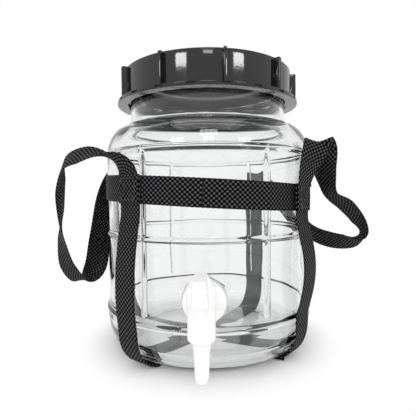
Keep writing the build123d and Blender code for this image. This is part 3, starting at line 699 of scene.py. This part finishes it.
def makeLid():
    d = lidShape
    sector = 180 / d["fins"]
    offsets = [-9, -7.5, -6, -4.6, -3.3, -d["slotHalf"] - 0.15, -d["slotHalf"], -1.4, -0.7,
               0, 0.7, 1.4, d["slotHalf"], d["slotHalf"] + 0.15, 3.3, 4.6, 6, 7.5]
    columns = [d["finPhase"] + k * sector + a for k in range(2 * d["fins"]) for a in offsets]
    low, high = d["slotLow"], d["slotHigh"]
    rim = [(d["flange"] - 0.5, d["flangeTop"]), (d["flange"] - 0.15, d["flangeTop"] - 0.15),
           (d["flange"], d["flangeTop"] - 0.5), (d["flange"], high + 0.08), (d["flange"], high),
           (d["flange"], 254.7), (d["flange"], low), (d["flange"], low - 0.08), (d["flange"], 253.5),
           (d["flange"] - 0.15, 253.15), (d["flange"] - 0.5, d["flangeZ"])]
    edge = [(d["skirt"] - d["edge"] + d["edge"] * sin(a), d["top"] - d["edge"] + d["edge"] * cos(a))
            for a in np.radians((0, 15, 30, 45, 60, 75, 90))]
    outline = [(r, d["top"] - d["panelDrop"]) for r in (20, 45, 65, 76)]
    outline += [(d["panel"] - 1.0, d["top"] - d["panelDrop"]), (d["panel"] - 0.6, d["top"] - 0.8),
                (d["panel"], d["top"] - 0.15), (d["panel"] + 0.5, d["top"]), (84, d["top"])]
    outline += edge + [(d["skirt"], z) for z in (280, 272, 264, 258, 257.4)]
    outline += [(d["skirt"] + 0.15, d["flangeTop"] + 0.45), (d["skirt"] + 0.45, d["flangeTop"] + 0.15),
                (d["skirt"] + 1.0, d["flangeTop"]), (d["flange"] - 2, d["flangeTop"])]
    outline += rim + [(d["flange"] - 2, d["flangeZ"]), (91, d["flangeZ"]), (d["bore"] + 0.5, d["flangeZ"]),
                      (d["bore"], d["flangeZ"] + 0.5)]
    outline += [(d["bore"], z) for z in np.arange(254, 270, 0.5)]
    outline += [(d["bore"], z) for z in (272, 276, 280, 283.7)] + [(d["bore"] - 0.8, d["ceiling"])]
    outline += [(r, d["ceiling"]) for r in (80, 60, 40, 20)]
    points = [(0, 0, d["top"] - d["panelDrop"])]
    for r, z in outline:
        for k, azimuth in enumerate(columns):
            grow = 0.0
            inSlot = abs(offsets[k % len(offsets)]) <= d["slotHalf"]
            if inSlot and r == d["flange"] and low - 0.01 <= z <= high + 0.01:
                grow = -d["slotDeep"]
            elif r == d["bore"] and 253.6 < z < 271:
                grow = -lidThreadHeight(azimuth, z)
            points.append(tuple(onRound(r + grow, azimuth, z)))
    points.append((0, 0, d["ceiling"]))
    count = len(columns)
    faces = [tuple(1 + v for v in f) for f in gridFaces(len(outline), count, closeColumns=True, flip=True)]
    last = 1 + (len(outline) - 1) * count
    for j in range(count):
        k = (j + 1) % count
        faces.append((0, 1 + j, 1 + k))
        faces.append((last + k, last + j, len(points) - 1))
    for k in range(d["fins"]):
        azimuth = d["finPhase"] + k * 2 * sector
        outward, side = onRound(1, azimuth, 0), acrossAt(azimuth)
        start = len(points)
        layers = [(-d["finHalf"], d["finEdge"]), (-d["finHalf"] * 0.9, d["finEdge"] * 0.3),
                  (-d["finHalf"] * 0.65, 0.0), (d["finHalf"] * 0.65, 0.0),
                  (d["finHalf"] * 0.9, d["finEdge"] * 0.3), (d["finHalf"], d["finEdge"])]
        outer, tall = d["skirt"] + d["finProud"], d["finTop"]
        for shift, inset in layers:
            turn = d["finRound"]
            ring = [(d["skirt"] - d["finSunk"], d["flangeTop"] - 1), (outer - inset, d["flangeTop"] - 1)]
            ring += [(outer - inset - turn + turn * cos(a), tall - inset - turn + turn * sin(a))
                     for a in np.radians((0, 15, 30, 45, 60, 75, 90))]
            ring += [(d["skirt"] - d["finSunk"], tall - inset)]
            points += [tuple(outward * r + side * shift + Vector((0, 0, z))) for r, z in ring]
        size = len(ring)
        faces += [tuple(start + v for v in f) for f in gridFaces(len(layers), size, closeColumns=True)]
        faces.append(tuple(start + v for v in reversed(range(size))))
        faces.append(tuple(start + (len(layers) - 1) * size + v for v in range(size)))
    lid = makePiece("lidScrewCap", points, faces, lidPlastic, "lid",
                    sharpAngle=d["sharpAngle"])
    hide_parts("lid")


makeLid()
print("lid made")


# The CAD nodes that keep their shape.
nodeFinish = {
    "lid_liner": linerFoam, "spigot_body": spigotPlastic, "spigot_plug": spigotPlastic,
    "spigot_washer_outer": washerRubber, "spigot_washer_inner": washerRubber, "spigot_nut": spigotPlastic,
}
for nodeName, finish in nodeFinish.items():
    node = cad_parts[nodeName]
    for materialSlot in node.material_slots:
        materialSlot.material = finish
print("nodes finished")


studio = {
    "floor": "#fafaf9", "floorHalf": 4, "floorZ": -0.0003,
    "fadeStart": 0.09, "fadeEnd": 0.145,  # where the floor turns white, in metres from the axis
    "fadeThroughGlass": 0.6,
    "worldLow": 1.0, "zenithGrey": 0.3, "greyStart": 0.55, "greyEnd": 0.85, "topPower": 4.6,
    "sidePower": 1.5, "frontPower": 1.0, "centrePower": 0.4,
}


def makeFloor():
    half, z = studio["floorHalf"], studio["floorZ"]
    mesh = bpy.data.meshes.new("floor")
    corners = [(-half, -half, z), (half, -half, z), (half, half, z), (-half, half, z)]
    mesh.from_pydata(corners, [], [(0, 1, 2, 3)])
    floor = bpy.data.objects.new("floor", mesh)
    bpy.context.scene.collection.objects.link(floor)
    material, tree = newMaterial("paleStudioFloor")
    matt = addNode(tree, "ShaderNodeBsdfDiffuse", {"Color": fromHex(studio["floor"])})
    glow = addNode(tree, "ShaderNodeEmission", {"Color": (1, 1, 1, 1), "Strength": 1.0})
    place = addNode(tree, "ShaderNodeTexCoord")
    away = addNode(tree, "ShaderNodeVectorMath", {"operation": "LENGTH"}, {0: place.outputs["Object"]})
    fade = addNode(tree, "ShaderNodeMapRange",
                   {"From Min": studio["fadeStart"], "From Max": studio["fadeEnd"],
                    "interpolation_type": "SMOOTHSTEP"}, {"Value": away.outputs["Value"]})
    path = addNode(tree, "ShaderNodeLightPath")
    through = addNode(tree, "ShaderNodeMath", {"operation": "MULTIPLY", 1: studio["fadeThroughGlass"]},
                      {0: path.outputs["Is Transmission Ray"]})
    share = addNode(tree, "ShaderNodeMath", {"operation": "MAXIMUM"},
                    {0: fade.outputs["Result"], 1: through.outputs[0]})
    mix = addNode(tree, "ShaderNodeMixShader", {},
                  {0: share.outputs[0], 1: matt.outputs[0], 2: glow.outputs[0]})
    addNode(tree, "ShaderNodeOutputMaterial", {}, {"Surface": mix.outputs[0]})
    mesh.materials.append(material)


def makeWorld():
    # White round the horizon, greyer overhead, so that glass shows its edges from every side.
    world = bpy.data.worlds.new("studio")
    world.use_nodes = True
    tree = world.node_tree
    tree.nodes.clear()
    place = addNode(tree, "ShaderNodeTexCoord")
    axes = addNode(tree, "ShaderNodeSeparateXYZ", {}, {"Vector": place.outputs["Generated"]})
    up = addNode(tree, "ShaderNodeMapRange",
                 {"From Min": studio["greyStart"], "From Max": studio["greyEnd"],
                  "To Min": studio["worldLow"], "To Max": studio["zenithGrey"],
                  "interpolation_type": "SMOOTHSTEP"}, {"Value": axes.outputs["Z"]})
    path = addNode(tree, "ShaderNodeLightPath")
    strength = addNode(tree, "ShaderNodeMix", {"data_type": "FLOAT"})
    tree.links.new(path.outputs["Is Camera Ray"], strength.inputs[0])
    tree.links.new(up.outputs["Result"], strength.inputs[2])
    strength.inputs[3].default_value = 1.0
    back = addNode(tree, "ShaderNodeBackground", {"Color": (1, 1, 1, 1)}, {"Strength": strength.outputs[0]})
    addNode(tree, "ShaderNodeOutputWorld", {}, {"Surface": back.outputs[0]})
    bpy.context.scene.world = world


def addSoftbox(name, azimuth, elevation, distance, width, height, power, target=(0, 0, 0.2)):
    data = bpy.data.lights.new(name, "AREA")
    data.shape, data.size, data.size_y, data.energy = "RECTANGLE", width, height, power
    lamp = bpy.data.objects.new(name, data)
    bpy.context.scene.collection.objects.link(lamp)
    a, e = radians(azimuth), radians(elevation)
    aim = Vector(target)
    out = Vector((sin(a) * cos(e), -cos(a) * cos(e), sin(e)))
    lamp.location = aim + out * distance
    lamp.rotation_mode = "QUATERNION"
    lamp.rotation_quaternion = (-out).to_track_quat("-Z", "Y")


makeFloor()
makeWorld()
addSoftbox("softboxTop", 0, 88, 1.2, 1.0, 1.0, studio["topPower"])
addSoftbox("softboxLeft", -30, 20, 1.1, 0.24, 0.11, studio["sidePower"], target=(0, 0, 0.27))
addSoftbox("softboxRight", 41, 20, 1.1, 0.24, 0.11, studio["sidePower"], target=(0, 0, 0.27))
addSoftbox("softboxCentre", 3, 23, 1.1, 0.2, 0.08, studio["centrePower"], target=(0, 0, 0.27))
addSoftbox("softboxFront", 3, 42, 1.1, 0.3, 0.14, studio["frontPower"], target=(0, 0, 0.25))
bpy.context.scene.view_settings.view_transform = "Standard"
print("studio set")
